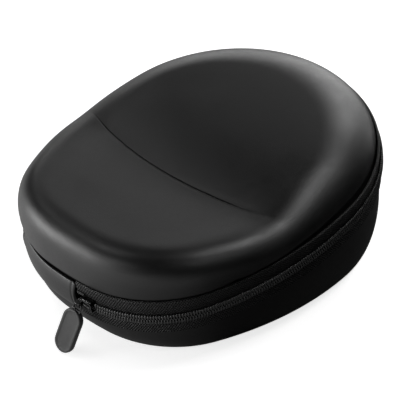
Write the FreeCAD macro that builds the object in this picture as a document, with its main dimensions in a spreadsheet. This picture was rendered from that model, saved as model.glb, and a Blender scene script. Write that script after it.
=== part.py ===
import FreeCAD, Part
import math
import os
import Sketcher

# Semi-rigid headphone carrying case: an egg-shaped clamshell with a zip all round, a leather
# hinge at the narrow end and a zip puller that hangs beside the hinge.
#
# World frame: origin on the ground under the middle of the case, +X to the broad end, +Z up.
# Zip frame: the zip lies in a plane that rises toward the broad end. u runs along the length,
# v across and w square to that plane. Most pieces are drawn in the zip frame, and one
# placement carries them into the world frame.

os.makedirs("parts", exist_ok=True)
doc = FreeCAD.newDocument("headphone_case")
V = FreeCAD.Vector
GLIDE = 0.05          # clearance round a piece that lies in a groove
GLUE = 0.2            # glue film between two layers of a shell

# ---------------------------------------------------------------- driving dimensions, mm, deg
DIMENSIONS = [
    ("zip_tilt", 10.07, "angle of the zip plane to the ground"),
    ("zip_height", 48.0, "height of the zip plane above the ground at the middle"),
    ("broad_centre", 18.44, "centre of the broad end's arc along the length"),
    ("broad_radius", 86.5, "outline radius round the broad end"),
    ("broad_turn", 86.2, "half angle of the broad arc"),
    ("side_radius", 185.1, "outline radius along each side"),
    ("side_turn", 115.4, "normal angle where the side meets the corner"),
    ("corner_radius", 65.1, "outline radius round each narrow corner"),
    ("corner_turn", 176.0, "normal angle where the corner meets the narrow end"),
    ("shell_inset", 3.5, "shell wall inside the zip line"),
    ("rim_gap", 5.2, "shell edge to the zip plane"),
    ("low_top", 18.3, "lid's low face above the zip plane at the middle"),
    ("low_slope", 0.229, "fall of the low face toward the broad end"),
    ("low_shoulder", 11.5, "plan width of the low face's shoulder"),
    ("low_shoulder_rise", 26.5, "height of the low face's shoulder"),
    ("dome_top", 30.3, "dome above the zip plane at the middle"),
    ("dome_slope", 0.06, "fall of the dome toward the broad end"),
    ("dome_shoulder", 24.0, "plan width of the dome's shoulder"),
    ("crease_axis", 176.0, "centre of the crease's arc along the length"),
    ("crease_radius", 199.8, "radius of the crease's arc"),
    ("ramp_radius", 130.0, "rounding of the dome above the crease"),
    ("ramp_slope", 0.3, "rise of the dome at the crease"),
    ("base_shoulder", 11.0, "plan width of the base's rounded foot"),
    ("cover_gauge", 0.8, "leather cover thickness"),
    ("core_gauge", 3.9, "moulded foam thickness"),
    ("lining_gauge", 0.8, "lining thickness"),
    ("band_half", 9.5, "zip tape edge from the zip plane"),
    ("tape_gauge", 0.95, "zip tape thickness"),
    ("tape_edge", 0.5, "tape's inner edge from the zip plane"),
    ("coil_half", 3.05, "coil's outer edge from the zip plane"),
    ("coil_gauge", 1.9, "coil height off the tape"),
    ("patch_start", 142.0, "normal angle at the hinge patch's far end"),
    ("patch_end", 181.0, "normal angle at the hinge patch's near end"),
    ("patch_gauge", 1.1, "hinge leather thickness"),
    ("slider_turn", -177.6, "normal angle of the slider at rest"),
    ("slider_length", 10.8, "slider length"),
    ("slider_half", 4.0, "slider half width"),
    ("pull_drop", 64.0, "puller's slope below the zip plane at rest"),
    ("pull_lean", 5.0, "puller's lean toward the hinge at rest"),
    ("link_length", 5.9, "pivot to the covered end of the link"),
    ("tab_length", 24.8, "rubber tab length"),
    ("tab_width", 12.4, "rubber tab width"),
    ("tab_gauge", 3.2, "rubber tab thickness"),
]
sheet = doc.addObject("Spreadsheet::Sheet", "Params")
for row, (alias, number, note) in enumerate(DIMENSIONS, start=1):
    sheet.set("A%d" % row, note)
    sheet.set("B%d" % row, str(number))
    sheet.setAlias("B%d" % row, alias)
doc.recompute()


def size(alias):
    return float(getattr(sheet, alias))


tilt = size("zip_tilt")
slope_of_ground = -math.tan(math.radians(tilt))
ZIP_FRAME = FreeCAD.Placement(V(0, 0, size("zip_height")), FreeCAD.Rotation(V(0, 1, 0), -tilt))


# ---------------------------------------------------------------- outline of the zip line
def unit(angle):
    return V(math.cos(math.radians(angle)), math.sin(math.radians(angle)), 0)


def outline_arcs():
    """Tangent arcs of the egg outline as (centre, radius, first and last normal angle)."""
    broad, side, corner = size("broad_radius"), size("side_radius"), size("corner_radius")
    turn_1, turn_2, turn_3 = size("broad_turn"), size("side_turn"), size("corner_turn")
    broad_centre = V(size("broad_centre"), 0, 0)
    side_centre = broad_centre + unit(turn_1) * (broad - side)
    corner_centre = side_centre + unit(turn_2) * (side - corner)
    end = corner + corner_centre.y / math.sin(math.radians(turn_3))
    end_centre = corner_centre + unit(turn_3) * (corner - end)
    half = [(side_centre, side, turn_1, turn_2), (corner_centre, corner, turn_2, turn_3)]
    arcs = [(broad_centre, broad, -turn_1, turn_1)]
    arcs += half
    arcs.append((end_centre, end, turn_3, 360 - turn_3))
    for centre, radius, first, last in reversed(half):
        arcs.append((V(centre.x, -centre.y, 0), radius, 360 - last, 360 - first))
    return arcs


ARCS = outline_arcs()


def arcs_between(first, last):
    """The part of the outline between two normal angles, anticlockwise."""
    found = []
    for lap in (-360, 0, 360):
        for centre, radius, start, stop in ARCS:
            begin = max(first, start + lap)
            finish = min(last, stop + lap)
            if finish - begin > 0.01:
                found.append((centre, radius, begin, finish))
    return found


def outline_point(angle):
    centre, radius, begin, _ = arcs_between(angle, angle + 0.02)[0]
    return centre + unit(begin) * radius


# ---------------------------------------------------------------- bodies and sketches
def new_body(name):
    body = doc.addObject("PartDesign::Body", name)
    body.Label = name
    body.Placement = ZIP_FRAME
    return body


def new_sketch(body, name, role, offset=FreeCAD.Placement()):
    plane = [item for item in body.Origin.OriginFeatures if item.Role == role][0]
    sketch = body.newObject("Sketcher::SketchObject", name)
    sketch.AttachmentSupport = [(plane, "")]
    sketch.MapMode = "FlatFace"
    sketch.AttachmentOffset = offset
    sketch.Visibility = False
    return sketch


def drive(sketch, index, name, rule):
    """Name a sketch constraint and bind it to the sheet."""
    sketch.renameConstraint(index, name)
    sketch.setExpression("Constraints." + name, rule)


def polygon(sketch, points):
    corners = [V(x, y, 0) for x, y in points]
    for here, there in zip(corners, corners[1:] + corners[:1]):
        sketch.addGeometry(Part.LineSegment(here, there), False)
    count = len(corners)
    for index in range(count):
        sketch.addConstraint(Sketcher.Constraint("Coincident", index, 2, (index + 1) % count, 1))


def egg_section(body, name, inset, height_rule, slope):
    """The outline, moved in by inset, on the plane w = height + slope * u."""
    tip = math.degrees(math.atan(slope))
    offset = FreeCAD.Placement(V(0, 0, 0), FreeCAD.Rotation(V(0, 1, 0), -tip))
    sketch = new_sketch(body, name, "XY_Plane", offset)
    sketch.setExpression("AttachmentOffset.Base.z", height_rule)
    stretch = math.sqrt(1 + slope * slope)
    for centre, radius, first, last in ARCS:
        middle = V(centre.x * stretch, centre.y, 0)
        ring = Part.Ellipse(middle, (radius - inset) * stretch + 1e-6, radius - inset)
        sketch.addGeometry(Part.ArcOfEllipse(ring, math.radians(first), math.radians(last)), False)
    for index in range(len(ARCS)):
        following = (index + 1) % len(ARCS)
        sketch.addConstraint(Sketcher.Constraint("Coincident", index, 2, following, 1))
    return sketch


def loft(body, kind, name, sections, ruled=False):
    feature = body.newObject("PartDesign::%sLoft" % kind, name)
    feature.Profile = sections[0]
    feature.Sections = sections[1:]
    feature.Ruled = ruled
    return feature


def shoulder(power, steps):
    """Shares of plan width and of rise, from the wall's foot to the flat top."""
    for step in range(steps + 1):
        turn = math.pi / 2 * step / steps
        across = 1 - math.cos(turn) ** (2 / power)
        up = math.sin(turn) ** (2 / power)
        yield across, up


# ---------------------------------------------------------------- lid and base shells
LOW_POWER = 3.1       # squareness of the low face's shoulder, 2 being an ellipse
DOME_POWER = 2.2
BASE_POWER = 2.1


def add_low_face(body, depth):
    """The lid's low part: a wall that follows the egg, then a rounded shoulder."""
    inset = size("shell_inset") + depth
    slope = -size("low_slope")
    plan = size("low_shoulder") - depth
    top = "Params.low_top - %g" % depth
    rise = "(Params.low_shoulder_rise - %g)" % depth
    foot = egg_section(body, "LowFoot", inset, top + " - 50", slope)
    brow = egg_section(body, "LowBrow", inset, top + " - " + rise, slope)
    loft(body, "Additive", "LowWall", [foot, brow], ruled=True)
    rings = []
    for step, (across, up) in enumerate(shoulder(LOW_POWER, 6)):
        rule = "%s - %s * %.6f" % (top, rise, 1 - up)
        rings.append(egg_section(body, "LowRing%d" % step, inset + plan * across, rule, slope))
    loft(body, "Additive", "LowShoulder", rings)


def add_dome(body, depth):
    """The lid's high part, before its front is cut back to the crease."""
    inset = size("shell_inset") + depth
    start = "(Params.rim_gap - 2)"
    top = "(Params.dome_top - %g)" % depth
    plan = size("dome_shoulder") - depth
    rings = []
    for step, (across, up) in enumerate(shoulder(DOME_POWER, 7)):
        rule = "%s * %.6f + %s * %.6f" % (start, 1 - up, top, up)
        name = "DomeRing%d" % step
        rings.append(egg_section(body, name, inset + plan * across, rule, -size("dome_slope") * up))
    loft(body, "Additive", "Dome", rings)


def cut_to_crease(body, depth):
    """Cut the dome's front to a ramp that starts at the crease and eases into the dome's top.

    The ramp is turned about an upright axis beyond the broad end, so the crease is an arc.
    """
    sketch = new_sketch(body, "RampProfile", "XZ_Plane")
    sketch.setExpression("AttachmentOffset.Base.x", "Params.crease_axis")
    start = V(-size("crease_radius"), 0, 0)
    start.y = size("low_top") - size("low_slope") * (size("crease_axis") + start.x) - depth
    steep, flat = math.atan(size("ramp_slope")), math.atan(size("dome_slope"))
    bend = size("ramp_radius")
    hub = start + V(math.sin(steep), -math.cos(steep), 0) * bend
    crown = hub + V(math.sin(flat), math.cos(flat), 0) * bend
    far = start - V(1, size("ramp_slope"), 0) * 110
    arc = Part.ArcOfCircle(Part.Circle(hub, V(0, 0, 1), bend), math.pi / 2 - flat, math.pi / 2 + steep)
    sketch.addGeometry(arc, False)
    for here, there in ((start, far), (far, V(far.x, 70, 0)), (V(far.x, 70, 0), V(crown.x, 70, 0)),
                        (V(crown.x, 70, 0), crown)):
        sketch.addGeometry(Part.LineSegment(here, there), False)
    sketch.addConstraint(Sketcher.Constraint("Coincident", 0, 2, 1, 1))
    for index in (1, 2, 3):
        sketch.addConstraint(Sketcher.Constraint("Coincident", index, 2, index + 1, 1))
    sketch.addConstraint(Sketcher.Constraint("Coincident", 4, 2, 0, 1))
    number = sketch.addConstraint(Sketcher.Constraint("Radius", 0, bend))
    drive(sketch, number, "ramp", "Params.ramp_radius")
    groove = body.newObject("PartDesign::Groove", "Ramp")
    groove.Profile = sketch
    groove.ReferenceAxis = (sketch, ["V_Axis"])
    groove.Angle = 100
    groove.Midplane = True


def trim_below(body, rule):
    """Cut the lid layer off square at a height over the zip plane."""
    sketch = new_sketch(body, "RimCut", "XY_Plane")
    sketch.setExpression("AttachmentOffset.Base.z", rule)
    polygon(sketch, [(-140, -120), (140, -120), (140, 120), (-140, 120)])
    cut = body.newObject("PartDesign::Pocket", "RimTrim")
    cut.Profile = sketch
    cut.Length = 90
    cut.Reversed = False


def lid_form(name, depth, rim):
    """Solid bounded by the lid's surface at a depth below its outside."""
    body = new_body(name)
    add_dome(body, depth)
    cut_to_crease(body, depth)
    add_low_face(body, depth)
    trim_below(body, rim)
    return body


def lid_layer(name, outer, inner):
    body = lid_form(name, outer, "Params.rim_gap")
    hollow = lid_form(name + "_hollow", inner, "Params.rim_gap - 1")
    hollow.Placement = FreeCAD.Placement()      # a cutting body is placed by the body it cuts
    cut = body.newObject("PartDesign::Boolean", "Hollow")
    cut.Type = "Cut"
    cut.setObjects([hollow])
    return body


def base_rings(body, kind, depth):
    inset = size("shell_inset") + depth
    start = "(-Params.rim_gap)"
    if kind == "Subtractive":
        start = "(1 - Params.rim_gap)"
    floor = "((%g - Params.zip_height) / cos(Params.zip_tilt * 1 deg))" % depth
    plan = size("base_shoulder") - depth
    rings = []
    for step, (across, up) in enumerate(shoulder(BASE_POWER, 6)):
        name = "%sRing%d" % (kind, step)
        rule = "%s * %.6f + %s * %.6f" % (start, 1 - up, floor, up)
        rings.append(egg_section(body, name, inset + plan * across, rule, slope_of_ground * up))
    loft(body, kind, kind + "Shell", rings)


def base_layer(name, outer, inner):
    body = new_body(name)
    base_rings(body, "Additive", outer)
    base_rings(body, "Subtractive", inner)
    return body


cover_depth = size("cover_gauge")
core_depth = cover_depth + GLUE + size("core_gauge")
lining_depth = core_depth + GLUE + size("lining_gauge")
for half, layer in (("lid", lid_layer), ("base", base_layer)):
    layer(half + "_cover", 0.0, cover_depth)
    layer(half + "_core", cover_depth + GLUE, core_depth)
    layer(half + "_lining", core_depth + GLUE, lining_depth)


# ---------------------------------------------------------------- strips along the zip line
def sweep(body, name, points, first, last):
    """Carry a profile of (outward, w) corners along the outline between two normal angles."""
    path = new_sketch(body, name + "Path", "XY_Plane")
    arcs = arcs_between(first, last)
    for centre, radius, begin, finish in arcs:
        circle = Part.Circle(centre, V(0, 0, 1), radius)
        index = path.addGeometry(Part.ArcOfCircle(circle, math.radians(begin), math.radians(finish)),
                                 False)
        for alias in ("broad_radius", "side_radius", "corner_radius"):
            if abs(size(alias) - radius) < 1e-6:
                number = path.addConstraint(Sketcher.Constraint("Radius", index, radius))
                drive(path, number, "bend%d" % index, "Params." + alias)
    closed = abs(last - first - 360) < 0.01
    for index in range(len(arcs) if closed else len(arcs) - 1):
        following = (index + 1) % len(arcs)
        path.addConstraint(Sketcher.Constraint("Coincident", index, 2, following, 1))
    start = outline_point(first)
    begin = first
    turn = FreeCAD.Rotation(V(0, 1, 0), begin)
    profile = new_sketch(body, name + "Profile", "XZ_Plane",
                         FreeCAD.Placement(V(start.x, 0, -start.y), turn))
    polygon(profile, points)
    pipe = body.newObject("PartDesign::AdditivePipe", name)
    pipe.Profile = profile
    pipe.Spine = path
    return pipe


def mirrored(points, side):
    """Put a profile drawn above the zip plane on the lid's or the base's side."""
    return [(outward, w * side) for outward, w in points]


gauge = size("tape_gauge")
edge = size("tape_edge")
band = size("band_half")
coil_foot = -1.35     # the coil stands on the tape at this distance from the zip line
notch = 4.4           # half height of the slider's bay in the lid's tape
patch_start, patch_end = size("patch_start"), size("patch_end")
slider_turn = size("slider_turn")
half_slider = math.degrees(size("slider_length") / 2 / size("corner_radius"))
slider_rear = slider_turn + half_slider
tape_first = patch_end - 360 + 0.4
tape_last = patch_start - 0.3


def tape_profile(low):
    """Tape section: flat under the slider, bellied above it, then turned in to the shell."""
    face = [(coil_foot, low), (coil_foot, 4.5), (-0.85, 6.3), (-1.2, 8.0), (-2.3, band)]
    if low > 4:
        face = [(coil_foot, low), (-0.85, 6.3), (-1.2, 8.0), (-2.3, band)]
    back = [(outward - gauge, w) for outward, w in reversed(face)]
    return face + back


for half, side in (("lid", 1), ("base", -1)):
    body = new_body(half + "_zip_tape")
    if side > 0:
        sweep(body, "Tape", mirrored(tape_profile(edge), side), slider_rear + 0.9, tape_last)
        sweep(body, "TapeOverBay", mirrored(tape_profile(notch), side),
              tape_first, slider_rear + 0.9)
    else:
        sweep(body, "Tape", mirrored(tape_profile(edge), side), tape_first, tape_last)

    coil_low, coil_high = edge, size("coil_half")
    coil_top = coil_foot + size("coil_gauge")
    shell_of_coil = [(coil_foot + 0.02, coil_low + 0.25), (coil_foot + 0.5, coil_low),
                     (coil_top - 0.5, coil_low), (coil_top, coil_low + 0.6),
                     (coil_top, coil_high - 0.6), (coil_top - 0.6, coil_high),
                     (coil_foot + 0.02, coil_high)]
    cord = [(coil_foot + 0.7, coil_low + 0.8), (coil_foot + 1.4, coil_low + 0.8),
            (coil_foot + 1.4, coil_high - 0.6), (coil_foot + 0.7, coil_high - 0.6)]
    coil_first = slider_rear + 0.9
    coil_last = tape_last - 2.6
    body = new_body(half + "_zip_coil")
    sweep(body, "Coil", mirrored(shell_of_coil, side), coil_first, coil_last)
    # hollow for the filler cord, open at both ends of the coil
    body_cord = new_body(half + "_zip_cord")
    sweep(body_cord, "Cord", mirrored(cord, side), coil_first, coil_last)
    groove = [(coil_foot + 0.7 - GLIDE, coil_low + 0.8 - GLIDE),
              (coil_foot + 1.4 + GLIDE, coil_low + 0.8 - GLIDE),
              (coil_foot + 1.4 + GLIDE, coil_high - 0.6 + GLIDE),
              (coil_foot + 0.7 - GLIDE, coil_high - 0.6 + GLIDE)]
    drill = sweep(body, "CordWay", mirrored(groove, side), coil_first, coil_last)
    # swap the last pipe for a cutting pipe with the same sketches
    profile, spine = drill.Profile, drill.Spine
    body.removeObject(drill)
    doc.removeObject(drill.Name)
    cut = body.newObject("PartDesign::SubtractivePipe", "CordWayCut")
    cut.Profile = profile
    cut.Spine = spine

    # binding folded over the raw edges of cover, foam and lining
    inner = size("shell_inset") + lining_depth + GLUE
    rim = size("rim_gap")
    binding = [(-2.7, rim - 0.9), (-2.7, rim - 0.1), (-inner, rim - 0.1),
               (-inner, rim + 1.8), (-inner - 0.8, rim + 1.8), (-inner - 0.8, rim - 0.9)]
    body = new_body(half + "_rim_binding")
    sweep(body, "Binding", mirrored(binding, side), -86.2, 273.8)

    # outer leather and inner fabric of the hinge, one strip of each cut at the hinge line
    leather = [(0.55, 0.15), (0.45, 3.0), (0.0, 6.5), (-1.3, band),
               (-1.3 - 1.0, band), (0.0 - size("patch_gauge"), 6.5 - 0.4),
               (0.45 - size("patch_gauge"), 3.0), (0.55 - size("patch_gauge"), 0.15)]
    fabric = [(-0.75, 0.15), (-0.85, 3.0), (-1.5, 6.0), (-2.6, 6.0), (-2.3, 0.15)]
    body = new_body("hinge_leather_" + half)
    sweep(body, "Leather", mirrored(leather, side), patch_start, patch_end)
    body = new_body("hinge_lining_" + half)
    sweep(body, "Fabric", mirrored(fabric, side), patch_start + 0.8, patch_end - 0.8)

    # small metal stop clipped to the tape beside the hinge leather
    stop = [(-1.3, 0.75), (-0.1, 0.75), (-0.1, 2.6), (-1.3, 2.6)]
    body = new_body(half + "_top_stop")
    if side < 0:
        sweep(body, "Stop", mirrored(stop, side), tape_first + 0.1, tape_first + 1.4)
    else:
        lid_stop = [(-1.3, notch + 0.1), (-0.25, notch + 0.1), (-0.25, 6.0), (-0.8, 6.0)]
        sweep(body, "Stop", mirrored(lid_stop, side), tape_first + 0.1, tape_first + 1.4)

# sewn bar across both coils at the far end of the zip, carried by the base
body = new_body("zip_end_bar")
bar = [(-1.3, -2.9), (-0.1, -2.9), (-0.1, -0.3), (-1.3, -0.3)]
sweep(body, "Bar", bar, tape_last - 2.4, tape_last - 0.6)


# ---------------------------------------------------------------- slider and puller
# Slider frame: x along the zip toward the hinge, y outward, z square to the zip plane.
corner_centre = V(ARCS[2][0].x, -ARCS[2][0].y, 0)
slider_spot = corner_centre + unit(slider_turn) * size("corner_radius")
SLIDER_FRAME = ZIP_FRAME * FreeCAD.Placement(slider_spot, FreeCAD.Rotation(V(0, 0, 1), slider_turn - 90))
PIVOT = V(3.9, 3.5, 1.0)
BAR_RADIUS = 0.65
HANG = FreeCAD.Rotation(V(1, 0, 0), -90 - size("pull_drop")) * FreeCAD.Rotation(V(0, 1, 0), size("pull_lean"))
PULL_FRAME = SLIDER_FRAME * FreeCAD.Placement(PIVOT, HANG)


def side_plane(body, name, at):
    """Sketch on the y-z plane of the slider frame, at a station along the zip."""
    return new_sketch(body, name, "YZ_Plane", FreeCAD.Placement(V(0, 0, at), FreeCAD.Rotation()))


def pad(body, name, sketch, length):
    feature = body.newObject("PartDesign::Pad", name)
    feature.Profile = sketch
    feature.Length = length
    return feature


def pocket(body, name, sketch, length):
    feature = body.newObject("PartDesign::Pocket", name)
    feature.Profile = sketch
    feature.Length = length
    feature.Midplane = True
    return feature


slider = new_body("slider_body")
slider.Placement = SLIDER_FRAME
half_length = size("slider_length") / 2
half_width = size("slider_half")
channel = side_plane(slider, "Channel", -half_length)
polygon(channel, [(2.1, -half_width), (2.1, half_width), (-1.05, half_width),
                  (-1.05, half_width - 0.6), (0.85, half_width - 0.6),
                  (0.85, 0.6 - half_width), (-1.05, 0.6 - half_width), (-1.05, -half_width)])
wing = pad(slider, "Wing", channel, 2 * half_length)
wing.setExpression("Length", "Params.slider_length")
keel_sketch = side_plane(slider, "KeelPlate", -half_length)
polygon(keel_sketch, [(-2.8, -half_width), (-2.8, half_width), (-3.9, half_width),
                      (-3.9, -half_width)])
neck_sketch = side_plane(slider, "Neck", half_length - 3.0)
polygon(neck_sketch, [(1.0, -0.4), (1.0, 0.4), (-3.0, 0.4), (-3.0, -0.4)])
pad(slider, "NeckPad", neck_sketch, 2.4)
keel = pad(slider, "Keel", keel_sketch, 2 * half_length)
keel.setExpression("Length", "Params.slider_length")
arch = side_plane(slider, "Arch", PIVOT.x - 1.3)
polygon(arch, [(2.0, -1.3), (4.6, -1.3), (5.2, -0.5), (5.2, 2.5), (4.6, 3.3), (2.0, 3.3)])
pad(slider, "ArchPad", arch, 2.6)
window = side_plane(slider, "Window", PIVOT.x)
polygon(window, [(2.3, -0.3), (4.3, -0.3), (4.3, 2.3), (2.3, 2.3)])
pocket(slider, "WindowCut", window, 4.0)

# steel link: a bar through the slider's arch, two arms and a tongue held in the tab
link = new_body("pull_link")
link.Placement = PULL_FRAME
LINK_HALF = 3.1
link_plan = new_sketch(link, "LinkPlan", "XZ_Plane")
tongue = size("link_length") + 12
polygon(link_plan, [(-LINK_HALF, 1.2), (LINK_HALF, 1.2), (LINK_HALF, 3.8), (4.0, 5.0),
                    (4.0, 5.6), (3.0, 5.8), (3.0, tongue), (-3.0, tongue), (-3.0, 5.8),
                    (-4.0, 5.6), (-4.0, 5.0), (-LINK_HALF, 3.8)])
link_plate = pad(link, "LinkPlate", link_plan, 1.1)
link_plate.Midplane = True
eye = new_sketch(link, "Eye", "XZ_Plane")
polygon(eye, [(-1.75, 0.5), (1.75, 0.5), (1.75, 3.6), (-1.75, 3.6)])
pocket(link, "EyeCut", eye, 6.0)
arms = new_sketch(link, "Arms", "XZ_Plane")
polygon(arms, [(-LINK_HALF, -0.55), (-1.75, -0.55), (-1.75, 1.4), (-LINK_HALF, 1.4)])
arm_pad = pad(link, "ArmLeft", arms, 1.1)
arm_pad.Midplane = True
arms = new_sketch(link, "ArmsRight", "XZ_Plane")
polygon(arms, [(1.75, -0.55), (LINK_HALF, -0.55), (LINK_HALF, 1.4), (1.75, 1.4)])
arm_pad = pad(link, "ArmRight", arms, 1.1)
arm_pad.Midplane = True
pin = new_sketch(link, "Pin", "YZ_Plane", FreeCAD.Placement(V(0, 0, -LINK_HALF + 0.2),
                                                          FreeCAD.Rotation()))
pin.addGeometry(Part.Circle(V(0, 0, 0), V(0, 0, 1), BAR_RADIUS), False)
pad(link, "PinPad", pin, 2 * LINK_HALF - 0.4)

# rubber tab moulded round the link's tongue
tab = new_body("pull_tab")
tab.Placement = PULL_FRAME
start = size("link_length")
length = size("tab_length")
radius = size("tab_width") / 2
tab_plan = new_sketch(tab, "TabPlan", "XZ_Plane")
near = V(0, start + radius, 0)
far = V(0, start + length - radius, 0)
tab_plan.addGeometry(Part.ArcOfCircle(Part.Circle(near, V(0, 0, 1), radius), math.pi, 2 * math.pi), False)
tab_plan.addGeometry(Part.LineSegment(V(radius, near.y, 0), V(radius, far.y, 0)), False)
tab_plan.addGeometry(Part.ArcOfCircle(Part.Circle(far, V(0, 0, 1), radius), 0, math.pi), False)
tab_plan.addGeometry(Part.LineSegment(V(-radius, far.y, 0), V(-radius, near.y, 0)), False)
for index, following in ((0, 1), (1, 2), (2, 3), (3, 0)):
    tab_plan.addConstraint(Sketcher.Constraint("Coincident", index, 2, following, 1))
tab_pad = pad(tab, "TabPad", tab_plan, size("tab_gauge"))
tab_pad.Midplane = True
tab_pad.setExpression("Length", "Params.tab_gauge")
slot = new_sketch(tab, "TongueSlot", "XZ_Plane")
polygon(slot, [(-3.0 - GLIDE, start - 3), (3.0 + GLIDE, start - 3), (3.0 + GLIDE, tongue + GLIDE),
               (-3.0 - GLIDE, tongue + GLIDE)])
pocket(tab, "TongueCut", slot, 1.1 + 2 * GLIDE)

doc.recompute()

# ---------------------------------------------------------------- checks and export
failures = []
for item in doc.Objects:
    if "Invalid" in item.State or "Error" in item.State:
        failures.append("%s: %s" % (item.Label, item.State))
bodies = [item for item in doc.Objects if item.TypeId == "PartDesign::Body"]
bodies = [body for body in bodies if not body.Label.endswith("_hollow")]
for body in bodies:
    shape = body.Shape
    if shape.isNull() or not shape.isValid() or not shape.Solids:
        failures.append("%s: bad solid" % body.Label)
if failures:
    raise RuntimeError("\n".join(failures))
for body in bodies:
    body.Shape.exportStep("parts/%s.step" % body.Label)
    print("%-20s %9.1f mm3 %d solid" % (body.Label, body.Shape.Volume, len(body.Shape.Solids)))
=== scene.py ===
import bpy
import bmesh
import math
import numpy as np
from mathutils import Matrix, Vector

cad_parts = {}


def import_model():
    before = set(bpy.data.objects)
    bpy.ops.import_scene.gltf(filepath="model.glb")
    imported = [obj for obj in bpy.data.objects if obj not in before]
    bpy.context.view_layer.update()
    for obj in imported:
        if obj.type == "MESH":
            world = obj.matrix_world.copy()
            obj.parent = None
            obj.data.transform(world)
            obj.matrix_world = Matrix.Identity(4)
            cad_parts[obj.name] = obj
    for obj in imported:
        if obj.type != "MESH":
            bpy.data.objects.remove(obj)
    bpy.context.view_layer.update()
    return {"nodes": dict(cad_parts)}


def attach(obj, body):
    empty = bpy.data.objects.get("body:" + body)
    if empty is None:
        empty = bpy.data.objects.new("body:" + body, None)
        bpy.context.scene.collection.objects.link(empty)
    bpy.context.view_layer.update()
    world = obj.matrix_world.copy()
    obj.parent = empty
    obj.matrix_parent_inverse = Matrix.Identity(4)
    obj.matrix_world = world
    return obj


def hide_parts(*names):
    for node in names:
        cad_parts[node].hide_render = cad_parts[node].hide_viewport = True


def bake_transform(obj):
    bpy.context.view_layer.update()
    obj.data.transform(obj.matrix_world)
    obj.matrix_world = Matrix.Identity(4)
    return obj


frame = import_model()

# ---------------------------------------------------------------- shape of the case, mm and degrees
# Zip frame: u along the case to the broad end, v across, w square to the sloping zip plane.
TILT = math.radians(10.07)
ZIP_HEIGHT = 48.0
BROAD_CENTRE, BROAD_RADIUS, BROAD_TURN = 18.44, 86.5, 86.2
SIDE_RADIUS, SIDE_TURN = 185.1, 115.4
CORNER_RADIUS, CORNER_TURN = 65.1, 176.0
SHELL_INSET, RIM = 3.5, 5.2
LOW_TOP, LOW_SLOPE, LOW_RISE = 20.28, 0.216, 20.5
CREASE_CENTRE, CREASE_RADIUS = (204.3, -7.7), 230.1
SWELL, SWELL_LENGTH, SWELL_RISE, SWELL_DROP = 7.8, 26.2, -0.020, 0.77
# Shoulder plan, shoulder power and wall bulge at the narrow end, along the sides and at the broad tip.
NARROW, SIDES, TIP = (16.6, 2.81, 3.2), (24.4, 1.96, 1.1), (34.0, 2.12, 2.5)
BASE_PLAN, BASE_POWER, BASE_BULGE = 11.0, 2.1, 1.4
# Square of the kink's softness at the crease, in the open and at the shell's edge; the lid's lowest wall top.
KINK, EDGE_KINK, LOWEST_WALL = 1.5, 90.0, 3.2
GROOVE_DEPTH, GROOVE_WIDTH = 0.35, 1.3
# Foot of the coils and thickness of the tape; the tape's inner edge; the lower edge of the base's tape.
COIL_FOOT, TAPE, TAPE_FOOT, BASE_TAPE_EDGE = -1.35, 0.95, 0.5, 11.0
COVER, CORE, LINING, GLUE = 0.8, 3.9, 0.8, 0.2
BAND = 9.5
HINGE_FIRST, HINGE_LAST, HINGE_MIDDLE = 142.0, 181.0, 165.9
SLIDER_TURN, SLIDER_LENGTH = -177.6, 10.8
PULL_DROP, PULL_LEAN = 64.0, 11.0
PIVOT = (3.9, 3.5, 1.0)


def unit(degrees):
    return np.array([math.cos(math.radians(degrees)), math.sin(math.radians(degrees))])


def outline_arcs():
    """Centre, radius, first and last normal angle of each arc of the egg outline."""
    broad = np.array([BROAD_CENTRE, 0.0])
    side = broad + unit(BROAD_TURN) * (BROAD_RADIUS - SIDE_RADIUS)
    corner = side + unit(SIDE_TURN) * (SIDE_RADIUS - CORNER_RADIUS)
    end_radius = CORNER_RADIUS + corner[1] / math.sin(math.radians(CORNER_TURN))
    end = corner + unit(CORNER_TURN) * (CORNER_RADIUS - end_radius)
    half = [(side, SIDE_RADIUS, BROAD_TURN, SIDE_TURN), (corner, CORNER_RADIUS, SIDE_TURN, CORNER_TURN)]
    arcs = [(broad, BROAD_RADIUS, -BROAD_TURN, BROAD_TURN)] + half
    arcs.append((end, end_radius, CORNER_TURN, 360 - CORNER_TURN))
    for centre, radius, first, last in reversed(half):
        arcs.append((centre * [1, -1], radius, 360 - last, 360 - first))
    return arcs


ARCS = outline_arcs()


def outline(turns, inset=0.0):
    """Points of the outline at the given normal angles, moved in by inset."""
    turns = np.atleast_1d(np.asarray(turns, float))
    inset = np.broadcast_to(np.asarray(inset, float), turns.shape)
    wrapped = (turns + BROAD_TURN) % 360 - BROAD_TURN
    points = np.zeros((len(turns), 2))
    for centre, radius, first, last in ARCS:
        here = (wrapped >= first - 1e-9) & (wrapped <= last + 1e-9)
        normal = np.stack([np.cos(np.radians(wrapped[here])), np.sin(np.radians(wrapped[here]))], 1)
        points[here] = centre + normal * (radius - inset[here])[:, None]
    return points


def radius_at(turns):
    wrapped = (np.asarray(turns, float) + BROAD_TURN) % 360 - BROAD_TURN
    radii = np.zeros(wrapped.shape)
    for _, radius, first, last in ARCS:
        radii = np.where((wrapped >= first) & (wrapped <= last), radius, radii)
    return radii


TURN_TABLE = np.linspace(-180, 360, 10801)
RUN_TABLE = np.concatenate([[0], np.cumsum(np.radians(0.05) * radius_at(TURN_TABLE[:-1] + 0.025))])


def run_of(turn):
    """Length along the zip line up to a normal angle."""
    return np.interp(turn, TURN_TABLE, RUN_TABLE)


def turn_of(run):
    return np.interp(run, RUN_TABLE, TURN_TABLE)


def world(u, v, w):
    """Zip frame in mm to the row frame in metres."""
    u, v, w = np.broadcast_arrays(np.asarray(u, float), np.asarray(v, float), np.asarray(w, float))
    x = u * math.cos(TILT) - w * math.sin(TILT)
    z = ZIP_HEIGHT + u * math.sin(TILT) + w * math.cos(TILT)
    return np.stack([x, v, z], -1) / 1000


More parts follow.
